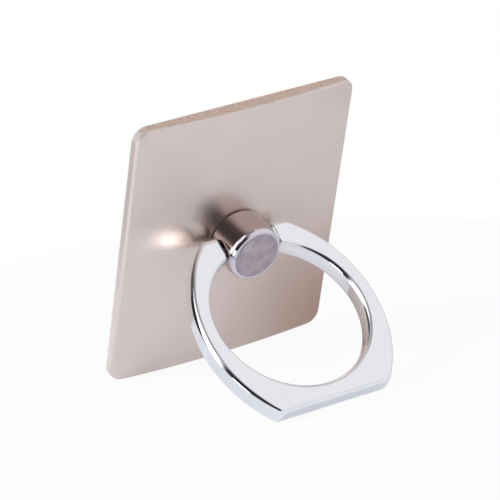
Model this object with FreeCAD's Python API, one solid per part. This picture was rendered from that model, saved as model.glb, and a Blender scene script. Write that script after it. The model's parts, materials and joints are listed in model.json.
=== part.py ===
import FreeCAD, Part
import math
import os

from FreeCAD import Placement, Rotation, Vector

# A stick-on phone holder: a thin crowned plate, a post that swivels on it, and a folding ring that is
# both the finger loop and the stand. Each piece is drawn in the plate's frame (X across the plate, Y up
# it, Z out of its front, origin at the middle of its flat back). The finished holder is then stood up as
# it stands on a table, on the plate's lower edge and on the flat of the ring. Sizes are in millimetres.

# Plate
plate_width = 34.0
plate_height = 40.0
plate_middle_thickness = 2.2
plate_side_thickness = 1.38
plate_corner_radius = 2.0
plate_bright_cut = 0.28
plate_back_break = 0.12

# Adhesive pad in its shallow recess on the back
pad_border = 1.2
pad_corner_radius = 1.5
pad_thickness = 0.8
pad_recess_depth = 0.3
pad_side_gap = 0.05

# Swivel bearing through the plate, from the back to the front
tail_gap = 0.1
clip_land = 0.1
clip_thickness = 0.25
clip_radius = 3.4
clip_opening = 2.8
clip_groove_radius = 2.0
clip_seat_gap = 0.02
thrust_washer_thickness = 0.2
thrust_washer_radius = 4.5
spring_washer_height = 0.32
spring_washer_sheet = 0.12
spring_washer_radius = 4.4
spring_washer_bore_gap = 0.1
pocket_rim_gap = 0.4
spot_face_depth = 0.15
glide_washer_thickness = 0.3
glide_washer_radius = 3.5
glide_washer_seat_gap = 0.1
spigot_radius = 2.5
swivel_clearance = 0.04
axial_clearance = 0.03

# Post
post_radius = 4.0
post_nose = 2.7
post_front_round = 0.68
post_foot_chamfer = 0.15
disc_radius = 3.27
disc_thickness = 0.5
disc_inset = 0.1
disc_edge_break = 0.06
disc_clearance = 0.03

# Hinge: two sprung pins in a cross bore of the post, their tips in blind holes of the ring
hinge_height = 2.6
pin_body_radius = 1.15
pin_body_length = 1.75
pin_body_clearance = 0.03
pin_setback = 0.33
pin_tip_radius = 0.8
pin_tip_clearance = 0.04
pin_tip_chamfer = 0.2
pin_engagement = 1.9
pin_end_clearance = 0.05
spring_wire = 0.28
spring_coil_radius = 0.85
spring_turns = 3
spring_end_gap = 0.02

# Ring, measured from the hinge axis along its own plane
ring_thickness = 3.0
ring_front = 1.35
ring_width = 26.9
ring_widest = 12.65
ring_top = 2.05
ring_top_width = 12.36
ring_flat = 25.15
ring_end_gap = 0.12
ring_end_break = 0.25
ring_edge_round = 0.4
ring_foot_corner = 1.0
arm_top_round = 1.2
arm_round_share = 0.45
finger_hole_radius = 10.9
finger_hole_offset = 11.8
finger_hole_break = 0.38
ring_open_angle = 67.0

# Levels in the plate, worked out from its back
tail_end = pad_recess_depth + tail_gap
clip_back = tail_end + clip_land
clip_front = clip_back + clip_thickness
thrust_front = clip_front + thrust_washer_thickness
spring_washer_back = thrust_front + axial_clearance
pocket_floor = spring_washer_back + spring_washer_height
spot_face = plate_middle_thickness - spot_face_depth
glide_front = spot_face + glide_washer_thickness
post_foot = glide_front + axial_clearance
hinge_level = plate_middle_thickness + hinge_height
post_front = hinge_level + post_nose
disc_front = post_front - disc_inset
disc_back = disc_front - disc_thickness

# Fits, worked out from the pieces that share them
crown_sag = plate_middle_thickness - plate_side_thickness
crown_radius = ((plate_width / 2) ** 2 + crown_sag ** 2) / (2 * crown_sag)
pad_width = plate_width - 2 * pad_border
pad_height = plate_height - 2 * pad_border
swivel_bore_radius = spigot_radius + swivel_clearance
pocket_radius = max(thrust_washer_radius, spring_washer_radius) + pocket_rim_gap
pin_shoulder = post_radius - pin_setback
pin_back = pin_shoulder - pin_body_length
ring_end = post_radius + ring_end_gap
pin_tip_end = ring_end + pin_engagement
spring_half_length = pin_back - spring_end_gap
side_step = (ring_width - ring_top_width) / 2
ring_side_radius = ((ring_widest + ring_top) ** 2 + side_step ** 2) / (2 * side_step)
arm_round = min(arm_top_round, arm_round_share * ring_thickness)
ring_back = ring_front - ring_thickness

ACROSS = Vector(1, 0, 0)
UP_PLATE = Vector(0, 1, 0)
OUT_OF_PLATE = Vector(0, 0, 1)
HINGE = Vector(0, 0, hinge_level)
tangent_limit = math.cos(math.radians(5))


def turned(radius, low, high):
    """Cylinder on the swivel axis between two levels."""
    return Part.makeCylinder(radius, high - low, Vector(0, 0, low))


def washer(outer_radius, inner_radius, low, high):
    """Flat ring on the swivel axis."""
    return turned(outer_radius, low, high).cut(turned(inner_radius, low, high))


def lies_at(edge, level):
    """True where the whole edge is in the plane of one level."""
    first, last = edge.ParameterRange
    probes = (first, (first + last) / 2, last)
    return all(abs(edge.valueAt(p).z - level) < Part.Precision.confusion() for p in probes)


def edges_at(shape, level):
    return [edge for edge in shape.Edges if lies_at(edge, level)]


def upright_edges(shape):
    """Straight edges that run out of the plate."""
    straight = [edge for edge in shape.Edges if isinstance(edge.Curve, Part.Line)]
    return [edge for edge in straight if abs(edge.Curve.Direction.dot(OUT_OF_PLATE)) > 0.999]


def slab(width, height, corner_radius, low, high):
    """Flat block with rounded corners, centred on the swivel axis."""
    block = Part.makeBox(width, height, high - low, Vector(-width / 2, -height / 2, low))
    return block.makeFillet(corner_radius, upright_edges(block))


def make_base_plate():
    """Aluminium plate: flat back, front crowned from side to side, bright cut round its front edge."""
    block = slab(plate_width, plate_height, plate_corner_radius, 0, plate_middle_thickness)
    crown_start = Vector(0, -plate_height, plate_middle_thickness - crown_radius)
    crown = Part.makeCylinder(crown_radius, 2 * plate_height, crown_start, UP_PLATE)
    plate = block.common(crown)
    crowned = [face for face in plate.Faces
               if isinstance(face.Surface, Part.Cylinder) and face.Surface.Radius > plate_corner_radius]
    front_face = max(crowned, key=lambda face: face.Area)
    plate = plate.makeChamfer(plate_bright_cut, front_face.Edges)
    plate = plate.makeChamfer(plate_back_break, edges_at(plate, 0))
    recess_width = pad_width + 2 * pad_side_gap
    recess_height = pad_height + 2 * pad_side_gap
    recess_corner = pad_corner_radius + pad_side_gap
    plate = plate.cut(slab(recess_width, recess_height, recess_corner, -pad_recess_depth, pad_recess_depth))
    plate = plate.cut(turned(pocket_radius, 0, pocket_floor))
    plate = plate.cut(turned(swivel_bore_radius, 0, post_foot))
    spot_radius = glide_washer_radius + glide_washer_seat_gap
    return plate.cut(turned(spot_radius, spot_face, post_foot))


def make_adhesive_pad():
    """Foam pad that sticks the plate to a phone."""
    return slab(pad_width, pad_height, pad_corner_radius, pad_recess_depth - pad_thickness, pad_recess_depth)


def make_glide_washer():
    """Nylon washer in the spot face, under the foot of the post."""
    return washer(glide_washer_radius, swivel_bore_radius, spot_face, glide_front)


def make_spring_washer():
    """Conical spring washer that presses the post's foot against the plate."""
    inner = swivel_bore_radius + spring_washer_bore_gap
    rim_front = spring_washer_back + spring_washer_sheet
    crown_back = pocket_floor - spring_washer_sheet
    start = Vector(inner, 0, crown_back)
    section = Part.makePolygon([start, Vector(spring_washer_radius, 0, spring_washer_back),
                                Vector(spring_washer_radius, 0, rim_front),
                                Vector(inner, 0, pocket_floor), start])
    return Part.Face(section).revolve(Vector(0, 0, 0), OUT_OF_PLATE, 360)


def make_thrust_washer():
    """Flat steel washer between the conical one and the clip."""
    return washer(thrust_washer_radius, swivel_bore_radius, clip_front, thrust_front)


def make_retaining_clip():
    """Open clip that snaps into the groove of the post's tail."""
    clip = washer(clip_radius, clip_groove_radius + clip_seat_gap, clip_back, clip_front)
    mouth_corner = Vector(-clip_opening / 2, -clip_radius, clip_back)
    return clip.cut(Part.makeBox(clip_opening, clip_radius, clip_thickness, mouth_corner))


def make_swivel_post():
    """Turned post: rounded nose with a recess for the disc, cross bore, spigot and grooved tail."""
    body = turned(post_radius, post_foot, post_front)
    body = body.makeFillet(post_front_round, edges_at(body, post_front))
    body = body.makeChamfer(post_foot_chamfer, edges_at(body, post_foot))
    body = body.cut(turned(disc_radius, disc_back, post_front))
    bore_start = HINGE - ACROSS * post_radius
    bore_radius = pin_body_radius + pin_body_clearance
    body = body.cut(Part.makeCylinder(bore_radius, 2 * post_radius, bore_start, ACROSS))
    tail = turned(spigot_radius, tail_end, post_foot)
    groove = washer(spigot_radius, clip_groove_radius, clip_back, clip_front)
    return body.fuse(tail.cut(groove)).removeSplitter()


def make_front_disc():
    """Satin disc let into the nose of the post."""
    disc = turned(disc_radius - disc_clearance, disc_back, disc_front)
    return disc.makeChamfer(disc_edge_break, edges_at(disc, disc_front))


def make_hinge_pin(side):
    """Stepped pin: body in the post, tip in the ring, towards -X or +X."""
    outward = ACROSS * side
    body = Part.makeCylinder(pin_body_radius, pin_body_length, HINGE + outward * pin_back, outward)
    tip_length = pin_tip_end - pin_shoulder
    straight_length = tip_length - pin_tip_chamfer
    tip = Part.makeCylinder(pin_tip_radius, straight_length, HINGE + outward * pin_shoulder, outward)
    nose_start = HINGE + outward * (pin_shoulder + straight_length)
    end_radius = pin_tip_radius - pin_tip_chamfer
    nose = Part.makeCone(pin_tip_radius, end_radius, pin_tip_chamfer, nose_start, outward)
    return body.fuse([tip, nose]).removeSplitter()


def make_hinge_spring():
    """Coil spring of square wire between the two pins."""
    coil_length = 2 * spring_half_length - spring_wire
    coil = Part.makeHelix(coil_length / spring_turns, coil_length, spring_coil_radius)
    half = spring_wire / 2
    inner = spring_coil_radius - half
    outer = spring_coil_radius + half
    section = Part.makePolygon([Vector(inner, 0, -half), Vector(outer, 0, -half), Vector(outer, 0, half),
                                Vector(inner, 0, half), Vector(inner, 0, -half)])
    spring = Part.Wire(coil.Edges).makePipeShell([section], True, True)
    spring.translate(Vector(0, 0, -coil_length / 2))
    spring.rotate(Vector(0, 0, 0), UP_PLATE, 90)
    spring.translate(HINGE)
    return spring


def ring_outline():
    """Two bowed sides between the flat at the hinge and the flat that stands on the table."""
    side_centre = ring_width / 2 - ring_side_radius
    foot = side_centre + math.sqrt(ring_side_radius ** 2 - (ring_flat - ring_widest) ** 2)
    corners = [Vector(-ring_top_width / 2, ring_top, 0), Vector(ring_top_width / 2, ring_top, 0),
               Vector(foot, -ring_flat, 0), Vector(-foot, -ring_flat, 0)]
    right = Vector(ring_width / 2, -ring_widest, 0)
    left = Vector(-ring_width / 2, -ring_widest, 0)
    return Part.Wire([Part.LineSegment(corners[0], corners[1]).toShape(),
                      Part.Arc(corners[1], right, corners[2]).toShape(),
                      Part.LineSegment(corners[2], corners[3]).toShape(),
                      Part.Arc(corners[3], left, corners[0]).toShape()])


def make_finger_ring():
    """Cast ring, drawn hanging down the plate from the hinge axis and then swung out to its angle."""
    ring = Part.Face(ring_outline()).extrude(OUT_OF_PLATE * ring_thickness)
    ring.translate(OUT_OF_PLATE * ring_back)
    broad_rims = edges_at(ring, ring_front) + edges_at(ring, ring_back)
    ring = ring.makeFillet(arm_round, [edge for edge in broad_rims if edge.CenterOfMass.y > 0])
    hole_start = Vector(0, -finger_hole_offset, ring_back)
    ring = ring.cut(Part.makeCylinder(finger_hole_radius, ring_thickness, hole_start))
    broad_rims = edges_at(ring, ring_front) + edges_at(ring, ring_back)
    ring = ring.makeChamfer(finger_hole_break, [edge for edge in broad_rims if in_finger_hole(edge)])
    throat_start = Vector(-ring_end, -finger_hole_offset, ring_back)
    ring = ring.cut(Part.makeBox(2 * ring_end, finger_hole_offset + ring_top, ring_thickness, throat_start))
    ring = ring.makeFillet(ring_foot_corner, [edge for edge in upright_edges(ring) if is_foot_corner(edge)])
    rims = sharp_edges_outside_hole(ring)
    ring = ring.makeChamfer(ring_end_break, [edge for edge in rims if is_arm_end(edge)])
    rims = sharp_edges_outside_hole(ring)
    ring = ring.makeFillet(ring_edge_round, [edge for edge in rims if not is_arm_end(edge)])
    for side in (-1, 1):
        outward = ACROSS * side
        socket_radius = pin_tip_radius + pin_tip_clearance
        socket_depth = pin_engagement + pin_end_clearance
        ring = ring.cut(Part.makeCylinder(socket_radius, socket_depth, outward * ring_end, outward))
    ring.rotate(Vector(0, 0, 0), ACROSS, -ring_open_angle)
    ring.translate(HINGE)
    return ring


def in_finger_hole(edge):
    """True where the edge belongs to the finger hole or to its broken rim."""
    first, last = edge.ParameterRange
    middle = edge.valueAt((first + last) / 2)
    from_centre = math.hypot(middle.x, middle.y + finger_hole_offset)
    return from_centre < finger_hole_radius + finger_hole_break + Part.Precision.confusion()


def is_arm_end(edge):
    """True where the edge lies beside the post, at the end of an arm."""
    point = edge.CenterOfMass
    beside_post = abs(point.x) < ring_end + ring_end_break + Part.Precision.confusion()
    return beside_post and point.y > -ring_widest


def is_foot_corner(edge):
    return abs(edge.CenterOfMass.y + ring_flat) < Part.Precision.confusion()


def sharp_edges_outside_hole(ring):
    """Every edge of the casting where two faces meet at an angle, the finger hole's own edges apart."""
    sharp = []
    for edge in ring.Edges:
        faces = ring.ancestorsOfType(edge, Part.Face)
        if len(faces) == 2 and not in_finger_hole(edge):
            first, last = edge.ParameterRange
            middle = edge.valueAt((first + last) / 2)
            normals = [face.normalAt(*face.Surface.parameter(middle)) for face in faces]
            if normals[0].dot(normals[1]) < tangent_limit:
                sharp.append(edge)
    return sharp


def standing_lean():
    """Angle between the plate and the upright when the plate's edge and the ring's flat share a table."""
    angle = math.radians(ring_open_angle)
    along = ring_flat - ring_edge_round
    behind = -ring_back - ring_edge_round
    foot_y = -along * math.cos(angle) - behind * math.sin(angle)
    foot_z = hinge_level + along * math.sin(angle) - behind * math.cos(angle)
    rise = foot_y + plate_height / 2
    reach = foot_z - (plate_middle_thickness - plate_bright_cut)
    return math.degrees(math.acos(ring_edge_round / math.hypot(rise, reach)) - math.atan2(reach, rise))


pieces = {
    "base_plate": make_base_plate(),
    "adhesive_pad": make_adhesive_pad(),
    "glide_washer": make_glide_washer(),
    "spring_washer": make_spring_washer(),
    "thrust_washer": make_thrust_washer(),
    "retaining_clip": make_retaining_clip(),
    "swivel_post": make_swivel_post(),
    "front_disc": make_front_disc(),
    "hinge_pin_left": make_hinge_pin(-1),
    "hinge_pin_right": make_hinge_pin(1),
    "hinge_spring": make_hinge_spring(),
    "finger_ring": make_finger_ring(),
}

# Standing on the table: the plate's front looks towards -Y, and the origin is under the holder's middle
upright = Placement(Vector(0, 0, 0), Rotation(ACROSS, 90 + standing_lean()))
for shape in pieces.values():
    shape.Placement = upright.multiply(shape.Placement)
box = Part.makeCompound(list(pieces.values())).optimalBoundingBox(True, False)
to_origin = Placement(Vector(0, -box.Center.y, -box.ZMin), Rotation())

os.makedirs("parts", exist_ok=True)
for name, shape in pieces.items():
    shape.Placement = to_origin.multiply(shape.Placement)
    shape.exportStep(f"parts/{name}.step")
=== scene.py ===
# %% [markdown]
# A stick-on phone holder: a satin champagne plate, a chrome post that swivels on it and a chrome ring that
# folds on the post. The imported model is the fixed frame, and every piece here is built round it, in metres.

# %% Load the frame
import json
import math

import bmesh
import bpy
from mathutils import Matrix, Vector


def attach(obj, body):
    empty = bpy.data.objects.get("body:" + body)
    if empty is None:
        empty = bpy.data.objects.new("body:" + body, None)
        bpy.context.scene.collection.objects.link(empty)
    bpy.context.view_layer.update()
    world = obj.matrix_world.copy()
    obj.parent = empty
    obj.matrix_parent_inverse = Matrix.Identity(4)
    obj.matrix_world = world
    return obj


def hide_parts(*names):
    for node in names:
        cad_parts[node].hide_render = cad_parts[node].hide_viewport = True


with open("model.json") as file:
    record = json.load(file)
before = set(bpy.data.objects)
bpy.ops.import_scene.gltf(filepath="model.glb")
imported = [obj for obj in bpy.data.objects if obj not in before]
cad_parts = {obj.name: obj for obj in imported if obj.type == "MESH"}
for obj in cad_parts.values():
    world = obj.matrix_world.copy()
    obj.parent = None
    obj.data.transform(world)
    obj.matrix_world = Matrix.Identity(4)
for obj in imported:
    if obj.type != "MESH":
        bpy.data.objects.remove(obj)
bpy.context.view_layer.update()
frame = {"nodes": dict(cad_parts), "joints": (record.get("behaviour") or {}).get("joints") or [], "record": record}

MM = 0.001
nodes = frame["nodes"]
print("nodes:", sorted(nodes))

# %% [markdown]
# The holder is drawn in two leaning frames, as a maker would measure it. The plate's frame has X across the
# plate, Y up it and Z out of its front, with its origin at the middle of the flat back. The ring's frame sits
# on the hinge, with Y towards the arms' tops and Z out of the ring's front. Both come from the joints, so
# nothing is placed by eye.

# %% The plate's frame and the ring's frame
ACROSS = Vector((1, 0, 0))
swivel = next(joint for joint in frame["joints"] if joint["name"] == "post_swivel")
hinge = Vector(swivel["pos_m"])
out_of_plate = Vector(swivel["axis"]).normalized()
up_plate = out_of_plate.cross(ACROSS)
RING_OPEN = math.radians(67)


def upright_frame(x, y, z, origin):
    """Matrix that takes a point from a piece's own frame to the row's frame."""
    turn = Matrix((x, y, z)).transposed().to_4x4()
    return Matrix.Translation(origin) @ turn


def reach(node, direction, origin):
    """Lowest and highest place of a CAD node along a direction, measured from a point."""
    along = [(vertex.co - origin).dot(direction) for vertex in nodes[node].data.vertices]
    return min(along), max(along)


hinge_level = -reach("base_plate", out_of_plate, hinge)[0]
plate_frame = upright_frame(ACROSS, up_plate, out_of_plate, hinge - out_of_plate * hinge_level)
ring_frame = plate_frame @ Matrix.Translation((0, 0, hinge_level)) @ Matrix.Rotation(-RING_OPEN, 4, "X")
print("hinge above the plate's back: %.3f mm" % (hinge_level / MM))

# %% [markdown]
# The camera stands where the photograph was taken from: a long lens, to the left of the holder and above it,
# rolled a few degrees. It is given in the plate's frame, because the plate is what a photographer lines up.
# The image is square, so the lens length and the sensor's width settle the view.

# %% Camera
CAMERA_FROM_HINGE = Vector((-232.615, 261.996, 300.882)) * MM
IMAGE_RIGHT = Vector((0.83042, 0.11282, 0.54560))
TOWARDS_OBJECT = Vector((0.50435, -0.56833, -0.65010))
SENSOR_WIDTH = 36
LENS_LENGTH = 250.71
CLIP_START = 0.01

camera_data = bpy.data.cameras.new("camera")
camera_data.sensor_fit = "HORIZONTAL"
camera_data.sensor_width = SENSOR_WIDTH
camera_data.lens = LENS_LENGTH
camera_data.clip_start = CLIP_START
camera = bpy.data.objects.new("camera", camera_data)
image_up = IMAGE_RIGHT.cross(TOWARDS_OBJECT)
camera_place = CAMERA_FROM_HINGE + Vector((0, 0, hinge_level))
camera.matrix_world = plate_frame @ upright_frame(IMAGE_RIGHT, image_up, -TOWARDS_OBJECT, camera_place)
bpy.context.scene.collection.objects.link(camera)
bpy.context.scene.camera = camera
print("camera distance: %.0f mm" % (CAMERA_FROM_HINGE.length / MM))

# %% [markdown]
# Chrome shows its surroundings more than itself, so the studio is drawn in the world. It is a pale tent: a
# window of light on the left with its sill and a lit bench beside it, a broad paler side on the right, and
# darker places where the camera looks in, overhead and behind. A patch with a minus sign takes light away. The
# camera itself sees plain white, and the directions are fixed in the room, so the reflections stay put when
# the view changes.

# %% Studio light
scene = bpy.context.scene
scene.view_settings.view_transform = "Standard"


def add_node(tree, kind, **values):
    """Adds a node, with its properties given by name and its input sockets by name in a dict."""
    made = tree.nodes.new(kind)
    for socket, value in values.pop("sockets", {}).items():
        made.inputs[socket].default_value = value
    for name, value in values.items():
        setattr(made, name, value)
    return made


def facing(tree, look, direction):
    """How far a face or a ray looks in a direction, from -1 to 1."""
    made = add_node(tree, "ShaderNodeVectorMath", operation="DOT_PRODUCT")
    made.inputs[1].default_value = direction
    tree.links.new(look, made.inputs[0])
    return made.outputs["Value"]


def between(tree, value, low, high, start, end):
    """Maps a range of values smoothly to another."""
    made = add_node(tree, "ShaderNodeMapRange", interpolation_type="SMOOTHSTEP")
    for socket, number in (("From Min", low), ("From Max", high), ("To Min", start), ("To Max", end)):
        made.inputs[socket].default_value = number
    tree.links.new(value, made.inputs["Value"])
    return made.outputs["Result"]


def soft_patch(tree, look, towards, inner_degrees, outer_degrees, strength):
    """Strength that fades from the middle of a patch of sky to its rim."""
    rim, middle = (math.cos(math.radians(angle)) for angle in (outer_degrees, inner_degrees))
    return between(tree, facing(tree, look, Vector(towards).normalized()), rim, middle, 0, strength)


def add_up(tree, parts):
    """Sum of several strengths."""
    total = parts[0]
    for part in parts[1:]:
        plus = add_node(tree, "ShaderNodeMath", operation="ADD")
        tree.links.new(total, plus.inputs[0])
        tree.links.new(part, plus.inputs[1])
        total = plus.outputs["Value"]
    return total


ROOM_LEVEL = 0.70
DARKEST = 0.03
DAYLIGHT = (0.97, 0.97, 1.0, 1)
SOFT_PATCHES = {
    "window": ((-0.922, 0.179, 0.342), 16, 23, 1.60),
    "window_sill": ((-0.947, 0.308, 0.087), 9, 15, 2.40),
    "lit_bench": ((-0.945, -0.289, -0.156), 9, 13, 4.50),
    "window_top": ((-0.637, -0.089, 0.766), 16, 26, 0.80),
    "pale_side": ((0.53, -0.29, 0.79), 39, 64, 0.21),
    "opening_for_camera": ((-0.640, -0.711, 0.292), 26, 34, -0.66),
    "opening_left": ((-0.950, -0.309, 0.052), 14, 24, -0.66),
    "opening_top": ((-0.321, -0.557, 0.766), 12, 20, -0.50),
    "overhead": ((-0.024, -0.137, 0.990), 14, 22, -0.55),
    "behind_left": ((-0.290, 0.894, 0.342), 44, 52, -2.20),
    "behind_right": ((0.37, 0.54, 0.76), 18, 40, -0.29),
}

world = bpy.data.worlds.new("studio")
scene.world = world
world.use_nodes = True
sky = world.node_tree
sky.nodes.clear()
look = add_node(sky, "ShaderNodeTexCoord")
patches = [soft_patch(sky, look.outputs["Generated"], *patch) for patch in SOFT_PATCHES.values()]
level = add_node(sky, "ShaderNodeMath", operation="ADD")
level.inputs[1].default_value = ROOM_LEVEL
sky.links.new(add_up(sky, patches), level.inputs[0])
not_black = add_node(sky, "ShaderNodeMath", operation="MAXIMUM")
not_black.inputs[1].default_value = DARKEST
sky.links.new(level.outputs["Value"], not_black.inputs[0])
studio = add_node(sky, "ShaderNodeBackground", sockets={"Color": DAYLIGHT})
sky.links.new(not_black.outputs["Value"], studio.inputs["Strength"])
backdrop = add_node(sky, "ShaderNodeBackground", sockets={"Color": (1, 1, 1, 1), "Strength": 1.0})
ray = add_node(sky, "ShaderNodeLightPath")
seen = add_node(sky, "ShaderNodeMixShader")
sky.links.new(ray.outputs["Is Camera Ray"], seen.inputs["Fac"])
sky.links.new(studio.outputs["Background"], seen.inputs[1])
sky.links.new(backdrop.outputs["Background"], seen.inputs[2])
sky_out = add_node(sky, "ShaderNodeOutputWorld")
sky.links.new(seen.outputs["Shader"], sky_out.inputs["Surface"])
print("patches of light and dark:", len(SOFT_PATCHES))

# %% [markdown]
# The holder stands on a small round white turntable. It is small so that the chrome shows the dark room past
# its rim as crisp bands. The camera sees most of the white as light of its own, and the rest as a painted
# surface that takes the holder's soft shadow. The metal sees more of the paint, a little cool. It sees it grow
# dimmer towards the rim, because the light pools in the middle, and warm beside the plate, which shades it.

# %% Turntable
TABLE_RADIUS = 0.068
TABLE_STEPS = 128
GLOW_FOR_CAMERA = 0.93
GLOW_FOR_METAL = 0.45
WHITE = (0.90, 0.90, 0.90)
COOL_WHITE = (0.92, 0.94, 1.0)
COOL_RIM = (0.72, 0.73, 0.77)
POOL_RADIUS = 0.046
WARM_SHADE = (0.56, 0.43, 0.38)
WARM_PLACE = (0.022, 0.016, 0)
WARM_RADIUS = 0.026


def new_material(name):
    """Empty node material and its output node."""
    material = bpy.data.materials.new(name)
    material.use_nodes = True
    material.node_tree.nodes.clear()
    return material, add_node(material.node_tree, "ShaderNodeOutputMaterial")


def blend(tree, share, first, second):
    """Mixes two colours, each of them a socket or a fixed colour."""
    made = add_node(tree, "ShaderNodeMix", data_type="RGBA")
    tree.links.new(share, made.inputs["Factor"])
    for socket, colour in (("A", first), ("B", second)):
        if isinstance(colour, tuple):
            made.inputs[socket].default_value = (*colour, 1)
        else:
            tree.links.new(colour, made.inputs[socket])
    return made.outputs["Result"]


table_bm = bmesh.new()
bmesh.ops.create_circle(table_bm, cap_ends=True, segments=TABLE_STEPS, radius=TABLE_RADIUS)
table_mesh = bpy.data.meshes.new("turntable")
table_bm.to_mesh(table_mesh)
table_bm.free()
table = bpy.data.objects.new("turntable", table_mesh)
scene.collection.objects.link(table)

white_paint, paint_out = new_material("white_paint")
paint = white_paint.node_tree
table_ray = add_node(paint, "ShaderNodeLightPath")
table_place = add_node(paint, "ShaderNodeTexCoord")
from_middle = add_node(paint, "ShaderNodeVectorMath", operation="LENGTH")
paint.links.new(table_place.outputs["Object"], from_middle.inputs[0])
rim_share = between(paint, from_middle.outputs["Value"], POOL_RADIUS, TABLE_RADIUS, 0, 1)
pool = blend(paint, rim_share, COOL_WHITE, COOL_RIM)
from_plate = add_node(paint, "ShaderNodeVectorMath", operation="DISTANCE")
paint.links.new(table_place.outputs["Object"], from_plate.inputs[0])
from_plate.inputs[1].default_value = WARM_PLACE
away_from_plate = between(paint, from_plate.outputs["Value"], 0, WARM_RADIUS, 0, 1)
table_in_metal = blend(paint, away_from_plate, WARM_SHADE, pool)
seen_in_metal = table_ray.outputs["Is Glossy Ray"]
matt = add_node(paint, "ShaderNodeBsdfDiffuse")
paint.links.new(blend(paint, seen_in_metal, WHITE, table_in_metal), matt.inputs["Color"])
glow = add_node(paint, "ShaderNodeEmission", sockets={"Strength": 1.0})
paint.links.new(blend(paint, seen_in_metal, (1, 1, 1), table_in_metal), glow.inputs["Color"])
for_metal = add_node(paint, "ShaderNodeMath", operation="MULTIPLY")
for_metal.inputs[1].default_value = GLOW_FOR_METAL
paint.links.new(seen_in_metal, for_metal.inputs[0])
glow_share = add_node(paint, "ShaderNodeMath", operation="MULTIPLY_ADD")
glow_share.inputs[1].default_value = GLOW_FOR_CAMERA
paint.links.new(table_ray.outputs["Is Camera Ray"], glow_share.inputs[0])
paint.links.new(for_metal.outputs["Value"], glow_share.inputs[2])
shown = add_node(paint, "ShaderNodeMixShader")
paint.links.new(glow_share.outputs["Value"], shown.inputs["Fac"])
paint.links.new(matt.outputs["BSDF"], shown.inputs[1])
paint.links.new(glow.outputs["Emission"], shown.inputs[2])
paint.links.new(shown.outputs["Shader"], paint_out.inputs["Surface"])
table.data.materials.append(white_paint)
print("turntable: %.0f mm across" % (2 * TABLE_RADIUS / MM))

# %% [markdown]
# One soft lamp at the left lights the table and the matt pieces, so that the holder's shadow falls to the
# right. The metal doesn't show it, because the studio's soft lights already stand for it in the reflections.

# %% Lamp
LAMP_PLACE = Vector((-0.50, 0.12, 0.32))
LAMP_SIZE = 0.35
LAMP_POWER = 1.5

lamp_data = bpy.data.lights.new("lamp", "AREA")
lamp_data.size = LAMP_SIZE
lamp_data.energy = LAMP_POWER
lamp = bpy.data.objects.new("lamp", lamp_data)
lamp.location = LAMP_PLACE
lamp.rotation_euler = (-LAMP_PLACE).to_track_quat("-Z", "Y").to_euler()
lamp.visible_glossy = False
scene.collection.objects.link(lamp)
print("lamp: %.1f W" % LAMP_POWER)

# %% [markdown]
# Each finish is a small tree of nodes on Object coordinates. A metal finish mixes two close colours by a slow
# noise, varies its roughness by the same noise, and gets its grain from a fine bump. One function makes all the
# metals, because they differ only in these values. The post's plating is darker and warmer than the ring's,
# partly as nickel is and partly as painted reflection of the brown plate. Its nose is paler, a painted highlight
# that the finish gives to faces turned to the front.

# %% Metal finishes
# Range of facing over which a metal's paler front colour, a painted highlight, comes in.
PAINTED_HIGHLIGHT_FACING = (0.15, 0.55)
MIDDLE_OF_NOISE = (0.3, 0.7)


def noise(tree, place, scale, detail):
    """Noise of a given number of cells a metre."""
    made = add_node(tree, "ShaderNodeTexNoise", sockets={"Scale": scale, "Detail": detail})
    tree.links.new(place, made.inputs["Vector"])
    return made.outputs["Fac"]


def ramp(tree, value, low, high):
    """Maps a noise's middle range to a range of values."""
    made = add_node(tree, "ShaderNodeMapRange")
    for socket, number in zip(("From Min", "From Max", "To Min", "To Max"), (*MIDDLE_OF_NOISE, low, high)):
        made.inputs[socket].default_value = number
    tree.links.new(value, made.inputs["Value"])
    return made.outputs["Result"]


def metal(name, colours, cloud_scale, roughness, grain_scale, grain_height, stretch=(1, 1, 1), front=None):
    """Metal whose colour and roughness drift between two values, with a fine grain in its surface."""
    material, out = new_material(name)
    tree = material.node_tree
    where = add_node(tree, "ShaderNodeTexCoord")
    stretched = add_node(tree, "ShaderNodeMapping", sockets={"Scale": stretch})
    tree.links.new(where.outputs["Object"], stretched.inputs["Vector"])
    place = stretched.outputs["Vector"]
    cloud = noise(tree, place, cloud_scale, 2)
    colour = blend(tree, ramp(tree, cloud, 0, 1), *colours)
    # A front colour, where given, is a painted highlight on faces turned out of the plate.
    if front:
        painted_highlight_share = between(tree, facing(tree, where.outputs["Normal"], out_of_plate), *PAINTED_HIGHLIGHT_FACING, 0, 1)
        colour = blend(tree, painted_highlight_share, colour, front)
    surface = add_node(tree, "ShaderNodeBsdfPrincipled", sockets={"Metallic": 1.0})
    tree.links.new(colour, surface.inputs["Base Color"])
    tree.links.new(ramp(tree, cloud, *roughness), surface.inputs["Roughness"])
    grain = add_node(tree, "ShaderNodeBump", sockets={"Strength": 1.0, "Distance": grain_height})
    tree.links.new(noise(tree, place, grain_scale, 3), grain.inputs["Height"])
    tree.links.new(grain.outputs["Normal"], surface.inputs["Normal"])
    tree.links.new(surface.outputs["BSDF"], out.inputs["Surface"])
    return material


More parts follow.
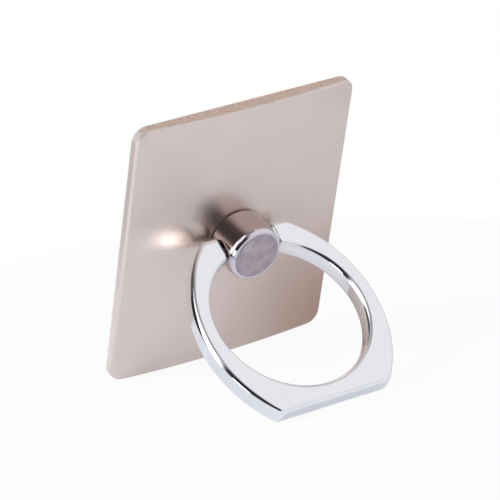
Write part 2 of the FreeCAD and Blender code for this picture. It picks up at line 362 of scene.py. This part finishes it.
finishes = {
    "chrome_plate": metal("chrome_plate", ((0.88, 0.885, 0.90), (0.90, 0.90, 0.91)), 200,
                          (0.04, 0.07), 700, 4e-7),
    # The post's darker, browner colours are partly nickel's own and partly painted reflection of the plate; its
    # paler front is a painted highlight.
    "nickel_and_painted_light": metal("nickel_and_painted_light", ((0.515, 0.425, 0.42), (0.55, 0.453, 0.447)), 200,
                          (0.05, 0.08), 700, 4e-7, front=(0.70, 0.67, 0.74)),
    "satin_disc": metal("satin_disc", ((0.38, 0.325, 0.36), (0.55, 0.48, 0.52)), 620,
                        (0.30, 0.42), 6000, 4e-6),
    "spring_steel": metal("spring_steel", ((0.50, 0.50, 0.52), (0.58, 0.58, 0.60)), 900,
                          (0.28, 0.40), 8000, 2e-6, (1, 1, 0.1)),
    "pin_steel": metal("pin_steel", ((0.58, 0.58, 0.60), (0.64, 0.64, 0.66)), 900,
                       (0.20, 0.30), 9000, 1e-6, (0.1, 1, 1)),
}
print("metals:", sorted(finishes))

# %% [markdown]
# The plate has three finishes, told apart by the way each face looks: a satin front, a smooth pale one on the
# cut edge, the long sides and the back, and blasted upper and lower ends with a coarse grain. One material holds
# all three, so that they meet in the edges of the solid without a seam. The face's own direction picks the
# finish, not the place of the camera.

# %% Anodised plate
SATIN = ((0.78, 0.68, 0.62), (0.82, 0.715, 0.655))
BLASTED = ((0.63, 0.475, 0.375), (0.90, 0.71, 0.60))
CUT = (0.80, 0.71, 0.675)
CUT_METALLIC = 0.50
EDGE_ROUGHNESS = (0.40, 0.62)
FRONT_SMOOTHER = -0.07
BROAD_FACING = (0.85, 0.95)
END_FACING = (0.75, 0.92)
CLOUD_SCALE, BLAST_SCALE, FINE_SCALE = 160, 3200, 9000
BLAST_DEPTH = 3e-5
FINE_DEPTH = 3e-6


def anodised_plate():
    """Champagne anodising: satin on the front, pale on the cut edge and sides, grainy on the ends."""
    material, out = new_material("champagne_anodised")
    tree = material.node_tree
    where = add_node(tree, "ShaderNodeTexCoord")
    place = where.outputs["Object"]
    broad = between(tree, facing(tree, where.outputs["Normal"], out_of_plate), *BROAD_FACING, 0, 1)
    how_endways = add_node(tree, "ShaderNodeMath", operation="ABSOLUTE")
    tree.links.new(facing(tree, where.outputs["Normal"], up_plate), how_endways.inputs[0])
    end = between(tree, how_endways.outputs["Value"], *END_FACING, 0, 1)
    cloud = noise(tree, place, CLOUD_SCALE, 2)
    grain = noise(tree, place, BLAST_SCALE, 4)
    fine = noise(tree, place, FINE_SCALE, 3)
    satin = blend(tree, ramp(tree, cloud, 0, 1), *SATIN)
    blasted = blend(tree, ramp(tree, grain, 0, 1), *BLASTED)
    surface = add_node(tree, "ShaderNodeBsdfPrincipled")
    tree.links.new(between(tree, broad, 0, 1, CUT_METALLIC, 1), surface.inputs["Metallic"])
    edges = blend(tree, end, CUT, blasted)
    tree.links.new(blend(tree, broad, edges, satin), surface.inputs["Base Color"])
    rough = add_node(tree, "ShaderNodeMath", operation="MULTIPLY_ADD")
    tree.links.new(broad, rough.inputs[0])
    rough.inputs[1].default_value = FRONT_SMOOTHER
    tree.links.new(between(tree, end, 0, 1, *EDGE_ROUGHNESS), rough.inputs[2])
    tree.links.new(rough.outputs["Value"], surface.inputs["Roughness"])
    fine_bump = add_node(tree, "ShaderNodeBump", sockets={"Strength": 1.0, "Distance": FINE_DEPTH})
    tree.links.new(fine, fine_bump.inputs["Height"])
    grain_bump = add_node(tree, "ShaderNodeBump", sockets={"Strength": 1.0})
    tree.links.new(between(tree, end, 0, 1, 0, BLAST_DEPTH), grain_bump.inputs["Distance"])
    tree.links.new(grain, grain_bump.inputs["Height"])
    tree.links.new(fine_bump.outputs["Normal"], grain_bump.inputs["Normal"])
    tree.links.new(grain_bump.outputs["Normal"], surface.inputs["Normal"])
    tree.links.new(surface.outputs["BSDF"], out.inputs["Surface"])
    return material


finishes["champagne_anodised"] = anodised_plate()
print("plate finishes: satin, cut, blasted")

# %% [markdown]
# Two finishes aren't metal. The washer under the post is moulded nylon, a milky plastic. The pad is
# closed-cell foam: dark, with cells too small to count, and a tacky face that still has a soft shine.

# %% Nylon and foam


def plastic(name, colours, cloud_scale, roughness, grain_scale, grain_height, sheen):
    """Plastic or foam whose colour drifts between two values, with a fine grain."""
    material, out = new_material(name)
    tree = material.node_tree
    place = add_node(tree, "ShaderNodeTexCoord").outputs["Object"]
    cloud = noise(tree, place, cloud_scale, 4)
    surface = add_node(tree, "ShaderNodeBsdfPrincipled", sockets={"Sheen Weight": sheen})
    tree.links.new(blend(tree, ramp(tree, cloud, 0, 1), *colours), surface.inputs["Base Color"])
    tree.links.new(ramp(tree, cloud, *roughness), surface.inputs["Roughness"])
    grain = add_node(tree, "ShaderNodeBump", sockets={"Strength": 1.0, "Distance": grain_height})
    cells = add_node(tree, "ShaderNodeTexVoronoi", sockets={"Scale": grain_scale})
    tree.links.new(place, cells.inputs["Vector"])
    tree.links.new(cells.outputs["Distance"], grain.inputs["Height"])
    tree.links.new(grain.outputs["Normal"], surface.inputs["Normal"])
    tree.links.new(surface.outputs["BSDF"], out.inputs["Surface"])
    return material


finishes["nylon"] = plastic("nylon", ((0.74, 0.72, 0.66), (0.80, 0.78, 0.73)), 1500, (0.38, 0.48),
                            12000, 1e-6, 0.0)
finishes["pad_foam"] = plastic("pad_foam", ((0.030, 0.030, 0.032), (0.055, 0.055, 0.058)), 700, (0.50, 0.62),
                               4200, 3e-5, 0.15)
print("other finishes: nylon, pad_foam")

# %% [markdown]
# The finger ring is a polished zinc casting under chrome. Its blank is drawn flat, as half of its outline: a
# short flat at the hinge, a bowed side, a rounded foot corner and the flat that stands on the table, with the
# round finger hole inside. Spinning one vertex gives each arc, so the outline stays a few named sizes.

# %% Outline of the ring
RING_THICKNESS = 3.00 * MM
RING_FRONT = 1.35 * MM
RING_WIDTH = 26.90 * MM
RING_WIDEST = 12.65 * MM
RING_TOP = 2.05 * MM
RING_TOP_WIDTH = 12.36 * MM
RING_FLAT = 25.15 * MM
ARM_END = 4.12 * MM
TOP_CORNER = 1.00 * MM
FOOT_CORNER = 1.00 * MM
HOLE_RADIUS = 10.90 * MM
HOLE_OFFSET = 11.80 * MM
TOP_STEPS, TOP_CORNER_STEPS, SIDE_STEPS, FOOT_CORNER_STEPS, FOOT_STEPS = 6, 8, 84, 10, 26


def straight_run(bm, start, end, steps):
    """Chain of edges from a vertex to a point; gives its last vertex."""
    step = (Vector(end) - start.co) / steps
    for _ in range(steps):
        start = bmesh.ops.extrude_vert_indiv(bm, verts=[start])["verts"][0]
        bmesh.ops.translate(bm, vec=step, verts=[start])
    return start


def round_run(bm, start, centre, turn, steps):
    """Chain of edges spun from a vertex about a centre; gives its last vertex."""
    spun = bmesh.ops.spin(bm, geom=[start], cent=centre, axis=(0, 0, 1), angle=turn, steps=steps,
                          use_duplicate=False)
    return next(item for item in spun["geom_last"] if isinstance(item, bmesh.types.BMVert))


def corner_centre(side_centre, side_radius, radius, level):
    """Centre of a corner round at a level, tangent to the bowed side."""
    rise = level - side_centre.y
    return Vector((side_centre.x + math.sqrt((side_radius - radius) ** 2 - rise ** 2), level, 0))


def half_outline(bm):
    """Right half of the ring's outline and of its finger hole, as two chains of as many edges."""
    step_in = (RING_WIDTH - RING_TOP_WIDTH) / 2
    side_radius = ((RING_WIDEST + RING_TOP) ** 2 + step_in ** 2) / (2 * step_in)
    side_centre = Vector((RING_WIDTH / 2 - side_radius, -RING_WIDEST, 0))
    top_centre = corner_centre(side_centre, side_radius, TOP_CORNER, RING_TOP - TOP_CORNER)
    foot_centre = corner_centre(side_centre, side_radius, FOOT_CORNER, FOOT_CORNER - RING_FLAT)
    top_angle = math.atan2(*(top_centre - side_centre).yx)
    foot_angle = math.atan2(*(foot_centre - side_centre).yx)
    corner = bm.verts.new((ARM_END, RING_TOP, 0))
    corner = straight_run(bm, corner, (top_centre.x, RING_TOP, 0), TOP_STEPS)
    corner = round_run(bm, corner, top_centre, top_angle - math.pi / 2, TOP_CORNER_STEPS)
    corner = round_run(bm, corner, side_centre, foot_angle - top_angle, SIDE_STEPS)
    corner = round_run(bm, corner, foot_centre, -math.pi / 2 - foot_angle, FOOT_CORNER_STEPS)
    straight_run(bm, corner, (0, -RING_FLAT, 0), FOOT_STEPS)
    throat_rise = math.sqrt(HOLE_RADIUS ** 2 - ARM_END ** 2)
    throat = bm.verts.new((ARM_END, throat_rise - HOLE_OFFSET, 0))
    throat_angle = math.atan2(throat_rise, ARM_END)
    steps = TOP_STEPS + TOP_CORNER_STEPS + SIDE_STEPS + FOOT_CORNER_STEPS + FOOT_STEPS
    round_run(bm, throat, (0, -HOLE_OFFSET, 0), -math.pi / 2 - throat_angle, steps)


ring_bm = bmesh.new()
half_outline(ring_bm)
print("half outline of the ring:", len(ring_bm.edges), "edges")

# %% [markdown]
# Bridging the two chains gives a flat strip of four-sided faces, which is mirrored and then given its
# thickness. The strip's rungs run from the hole to the outline, so the rounded rims that follow can slide
# along them. The rims are rolled generously, and the arms' ends, which meet the post, a little less. A narrow
# inset round the broad faces keeps the shading flat right up to the rims.

# %% Body of the ring
RIM_ROUND = 0.72 * MM
ARM_END_ROUND = 0.40 * MM
RIM_SEGMENTS = 8
FLAT_MARGIN = 0.05 * MM
FLAT_TOP = -1.60 * MM
SHARP = math.radians(40)
SQUARE_ON = 0.99
LEVEL = 0.9999
TINY = 1e-7

bmesh.ops.bridge_loops(ring_bm, edges=ring_bm.edges[:])
flat_geometry = ring_bm.verts[:] + ring_bm.edges[:] + ring_bm.faces[:]
bmesh.ops.mirror(ring_bm, geom=flat_geometry, axis="X", merge_dist=TINY)
bmesh.ops.remove_doubles(ring_bm, verts=ring_bm.verts[:], dist=TINY)


def thicken(bm, thickness):
    """Gives a flat blank its thickness, half of it to each side."""
    bmesh.ops.recalc_face_normals(bm, faces=bm.faces[:])
    bmesh.ops.solidify(bm, geom=bm.faces[:], thickness=thickness)
    bmesh.ops.recalc_face_normals(bm, faces=bm.faces[:])
    levels = [vertex.co.z for vertex in bm.verts]
    bmesh.ops.translate(bm, vec=(0, 0, -(min(levels) + max(levels)) / 2), verts=bm.verts[:])


thicken(ring_bm, RING_THICKNESS)


def is_arm_end(face):
    """True for the upright face of an arm that looks at the post."""
    return abs(face.normal.x) > SQUARE_ON and abs(abs(face.calc_center_median().x) - ARM_END) < TINY


def round_off(bm, edges, radius, segments):
    """Rounds edges to a radius."""
    bmesh.ops.bevel(bm, geom=edges, offset=radius, offset_type="OFFSET", affect="EDGES",
                    segments=segments, profile=0.5, material=-1)


sharp = [edge for edge in ring_bm.edges if edge.calc_face_angle(0) > SHARP]
rims = [edge for edge in sharp if not any(is_arm_end(face) for face in edge.link_faces)]
round_off(ring_bm, rims, RIM_ROUND, RIM_SEGMENTS)
end_faces = [face for face in ring_bm.faces if is_arm_end(face)]
end_rims = {edge for face in end_faces for edge in face.edges if edge.calc_face_angle(0) > SHARP}
round_off(ring_bm, list(end_rims), ARM_END_ROUND, RIM_SEGMENTS)
flats = [face for face in ring_bm.faces
         if abs(face.normal.z) > LEVEL and face.calc_center_median().y < FLAT_TOP]
bmesh.ops.inset_region(ring_bm, faces=flats, thickness=FLAT_MARGIN, use_boundary=True, use_even_offset=True)
print("ring with rounded rims:", len(ring_bm.faces), "faces")

# %% [markdown]
# The arms end in a full round over the hinge, so that they can turn close to the plate. It could be another
# bevel, but its radius is wider than the faces beside it. Instead the arms' tops are sliced into thin bands
# and each band is thinned to the round's height there.

# %% Rounded tops of the arms
ARM_ROUND = 1.20 * MM
ARM_BANDS = 16

round_start = RING_TOP - ARM_ROUND
for band in range(ARM_BANDS):
    level = round_start + ARM_ROUND * math.sin(math.pi / 2 * band / ARM_BANDS)
    everything = ring_bm.verts[:] + ring_bm.edges[:] + ring_bm.faces[:]
    bmesh.ops.bisect_plane(ring_bm, geom=everything, dist=TINY, plane_co=(0, level, 0), plane_no=(0, 1, 0))
for vertex in ring_bm.verts:
    share = min(1, (vertex.co.y - round_start) / ARM_ROUND)
    if share > 0:
        thinned = RING_THICKNESS / 2 - ARM_ROUND + ARM_ROUND * math.sqrt(1 - share ** 2)
        vertex.co.z *= thinned / (RING_THICKNESS / 2)
print("ring with rounded arms:", len(ring_bm.faces), "faces")

# %% [markdown]
# A finished piece goes into the row's frame, is shaded smooth apart from its true corners, and gets weighted
# normals, so that broad flat faces stay flat in the reflections and only their rims turn. It rides on its
# body, and the CAD piece it stands for is hidden.

# %% Finish a piece


def finished(name, bm, place, body, slot, stands_for, finish=None):
    """Object made from a bmesh, put in its place, shaded, and fixed to its body."""
    bmesh.ops.transform(bm, matrix=place, verts=bm.verts[:])
    bmesh.ops.recalc_face_normals(bm, faces=bm.faces[:])
    mesh = bpy.data.meshes.new(name)
    bm.to_mesh(mesh)
    bm.free()
    mesh.shade_smooth()
    mesh.set_sharp_from_angle(angle=SHARP)
    piece = bpy.data.objects.new(name, mesh)
    scene.collection.objects.link(piece)
    weighted = piece.modifiers.new("flat_faces_lead", "WEIGHTED_NORMAL")
    weighted.keep_sharp = True
    mesh.materials.append(finishes[finish or slot])
    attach(piece, body)
    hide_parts(stands_for)
    print(name, "faces:", len(mesh.polygons))
    return piece


ring_place = ring_frame @ Matrix.Translation((0, 0, RING_FRONT - RING_THICKNESS / 2))
finished("polished_ring", ring_bm, ring_place, "ring", "chrome_plate", "finger_ring")

# %% [markdown]
# The post is turned on a lathe: a plain round bar with a softly rolled nose and a shallow recess for its disc.
# Half of its profile is drawn as a chain of points and spun once round the swivel's axis. The nose rolls over
# slowly at first and then faster, like a quarter of an ellipse, which gives the broad bright crescent there.

# %% Turned post
POST_RADIUS = 4.00 * MM
NOSE_LENGTH = 1.25 * MM
NOSE_ROLL = 0.66 * MM
NOSE_STEPS = 14
RECESS_RADIUS = 3.29 * MM
RECESS_DEPTH = 0.60 * MM
RECESS_LIP = 0.02 * MM
FOOT_GAP = 0.03 * MM
FOOT_CHAMFER = 0.15 * MM
POST_STEPS = 128

post_front = reach("swivel_post", out_of_plate, hinge)[1] + hinge_level
post_foot = reach("glide_washer", out_of_plate, hinge)[1] + hinge_level + FOOT_GAP
profile = [(POST_RADIUS - FOOT_CHAMFER, post_foot), (POST_RADIUS, post_foot + FOOT_CHAMFER)]
for step in range(NOSE_STEPS + 1):
    turn = math.pi / 2 * step / NOSE_STEPS
    profile.append((POST_RADIUS - NOSE_ROLL * (1 - math.cos(turn)),
                    post_front - NOSE_LENGTH * (1 - math.sin(turn))))
profile.append((RECESS_RADIUS, post_front - RECESS_LIP))
profile.append((RECESS_RADIUS, post_front - RECESS_DEPTH))
post_bm = bmesh.new()
chain = [post_bm.verts.new((radius, 0, height)) for radius, height in profile]
for first, second in zip(chain, chain[1:]):
    post_bm.edges.new((first, second))
bmesh.ops.spin(post_bm, geom=post_bm.verts[:] + post_bm.edges[:], cent=(0, 0, 0), axis=(0, 0, 1),
               angle=2 * math.pi, steps=POST_STEPS, use_merge=True)
bmesh.ops.remove_doubles(post_bm, verts=post_bm.verts[:], dist=TINY)
open_rims = [edge for edge in post_bm.edges if edge.is_boundary]
bmesh.ops.holes_fill(post_bm, edges=open_rims, sides=0)
finished("turned_post", post_bm, plate_frame, "swivel", "chrome_plate", "swivel_post", "nickel_and_painted_light")
print("post stands %.2f mm out of the plate's back" % (post_front / MM))

# %% [markdown]
# A satin disc closes the nose. It stands a hair proud of the rim and is very slightly domed, so that its upper
# edge shows as a thin dark line. A circle is capped, given its thickness, rolled at its edge, and its front is
# inset twice and lifted to dome it.

# %% Disc in the nose
DISC_RADIUS = 3.26 * MM
DISC_THICKNESS = 0.50 * MM
DISC_PROUD = 0.05 * MM
DISC_EDGE = 0.07 * MM
DISC_EDGE_SEGMENTS = 3
DISC_STEPS = 96
DISC_DOME = [(0.9 * MM, 0.03 * MM), (1.1 * MM, 0.015 * MM)]


def front_rim(bm):
    """Sharp edges round the front of a thickened blank."""
    return [edge for edge in bm.edges if edge.calc_face_angle(0) > SHARP and edge.verts[0].co.z > 0]


def swell_front(bm, steps):
    """Insets the broad front face step by step and lifts it a little each time."""
    for inset, lift in steps:
        front = max((face for face in bm.faces if face.normal.z > 0.5), key=lambda face: face.calc_area())
        bmesh.ops.inset_region(bm, faces=[front], thickness=inset, depth=lift, use_even_offset=True)


disc_bm = bmesh.new()
bmesh.ops.create_circle(disc_bm, cap_ends=True, segments=DISC_STEPS, radius=DISC_RADIUS)
thicken(disc_bm, DISC_THICKNESS)
round_off(disc_bm, front_rim(disc_bm), DISC_EDGE, DISC_EDGE_SEGMENTS)
swell_front(disc_bm, DISC_DOME)
disc_place = Matrix.Translation((0, 0, post_front + DISC_PROUD - DISC_THICKNESS / 2))
finished("nose_disc", disc_bm, plate_frame @ disc_place, "swivel", "satin_disc", "front_disc")

# %% [markdown]
# The pad on the back is a die-cut piece of foam. Its blank is a square grid of one face, scaled to size, with
# its corners bevelled round. The cut edge is a little soft, and the tacky face swells by a few hundredths of
# a millimetre, which three shallow insets give. It sits with its flat side in the plate's recess.

# %% Foam pad
PAD_WIDTH = 31.60 * MM
PAD_HEIGHT = 37.60 * MM
PAD_CORNER = 1.50 * MM
PAD_RECESS = 0.30 * MM
PAD_RIM = 0.72 * MM
PAD_EDGE = 0.20 * MM
PAD_EDGE_SEGMENTS = 4
PAD_CORNER_SEGMENTS = 10
PAD_SWELL = [(0.30 * MM, 0.04 * MM), (0.35 * MM, 0.025 * MM), (0.40 * MM, 0.015 * MM)]

pad_bm = bmesh.new()
bmesh.ops.create_grid(pad_bm, x_segments=1, y_segments=1, size=0.5)
bmesh.ops.scale(pad_bm, vec=(PAD_WIDTH, PAD_HEIGHT, 1), verts=pad_bm.verts[:])
bmesh.ops.bevel(pad_bm, geom=pad_bm.verts[:], offset=PAD_CORNER, offset_type="OFFSET", affect="VERTICES",
                segments=PAD_CORNER_SEGMENTS, profile=0.5, material=-1)
thicken(pad_bm, PAD_RIM)
round_off(pad_bm, front_rim(pad_bm), PAD_EDGE, PAD_EDGE_SEGMENTS)
swell_front(pad_bm, PAD_SWELL)
to_back = Matrix.Translation((0, 0, PAD_RECESS - PAD_RIM / 2)) @ Matrix.Rotation(math.pi, 4, "Y")
pad = finished("foam_pad", pad_bm, plate_frame @ to_back, "base", "pad_foam", "adhesive_pad")
pad_stands = PAD_RIM + sum(lift for _, lift in PAD_SWELL) - PAD_RECESS
print("pad stands %.2f mm behind the plate" % (pad_stands / MM))

# %% [markdown]
# The pieces that the frame already shows well keep their own shape and take the finish that the record names
# for them. The solid post takes the plating of the turned one that stands for it.

# %% Finishes on the frame's own pieces
finish_of = {part["node"]: part["material_slot"] for part in frame["record"]["subparts"]}
# The post's plating holds painted reflection and a painted highlight.
finish_of["swivel_post"] = "nickel_and_painted_light"
for node, piece in nodes.items():
    for place in piece.material_slots:
        place.material = finishes[finish_of[node]]
print("finished nodes:", len(nodes))
